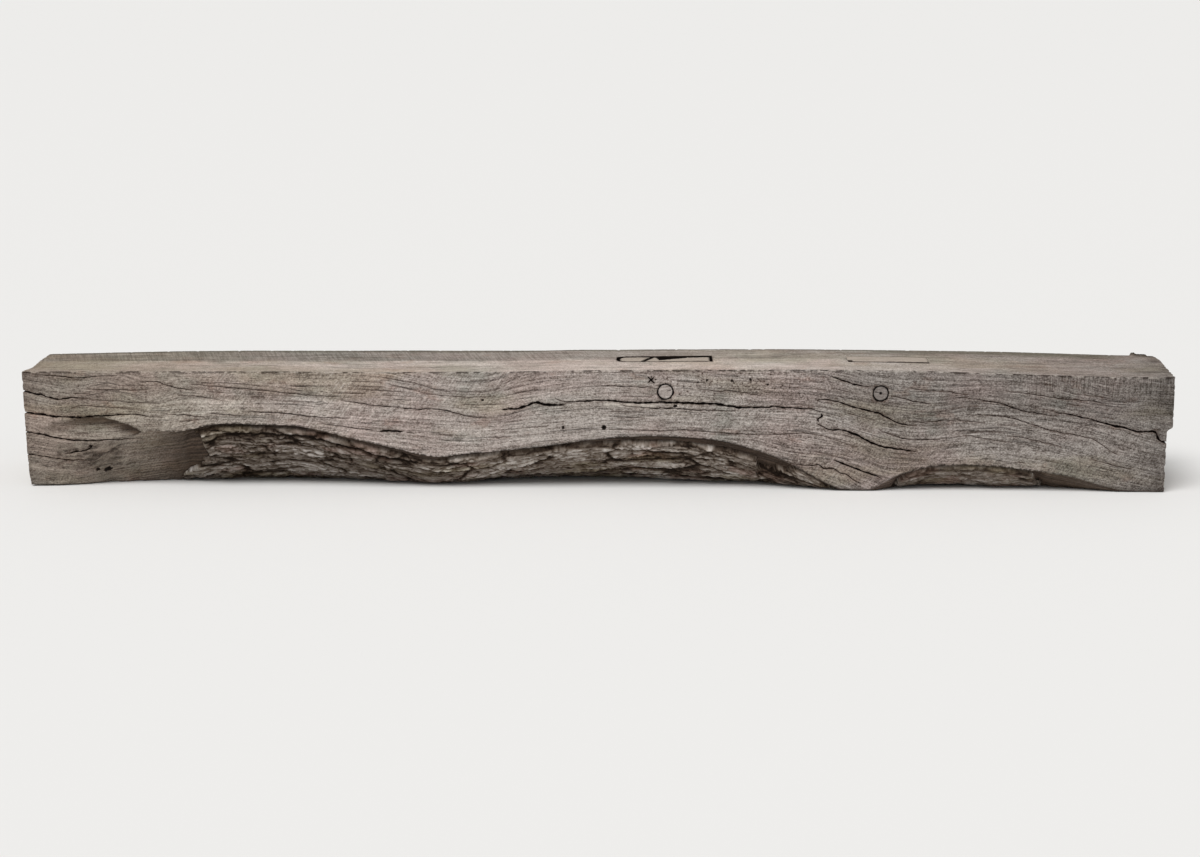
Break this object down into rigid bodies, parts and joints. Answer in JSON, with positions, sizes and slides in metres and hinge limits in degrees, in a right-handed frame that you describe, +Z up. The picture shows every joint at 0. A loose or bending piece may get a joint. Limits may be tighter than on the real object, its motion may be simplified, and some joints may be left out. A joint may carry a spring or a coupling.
{
  "type": "reclaimed oak fireplace mantel beam",
  "caption": "Weathered solid oak mantel beam with a waney, bark-edged lower front, open drying shakes, and old pegged mortises in the top.",
  "frame": {"origin": "under the middle of the beam's bounding box, on the plane of its sawn underside", "axes": "+X along the beam to the right as seen from the room, -Y is the front, +Y is the flat back that goes against the wall, +Z is up"},
  "size_m": [1.7997, 0.183, 0.1938],
  "materials": {
    "weathered_oak": "bare weathered oak, grey-brown, with saw marks and bark",
    "tenon_oak": "bare end grain of old oak, sawn flush",
    "peg_oak": "bare oak peg, weathered with the face"
  },
  "bodies": {
    "root": {"beam": "weathered_oak", "tenon_1_left": "tenon_oak", "tenon_1_right": "tenon_oak", "tenon_2": "tenon_oak", "peg_1": "peg_oak", "peg_2": "peg_oak"}
  },
  "joints": []
}
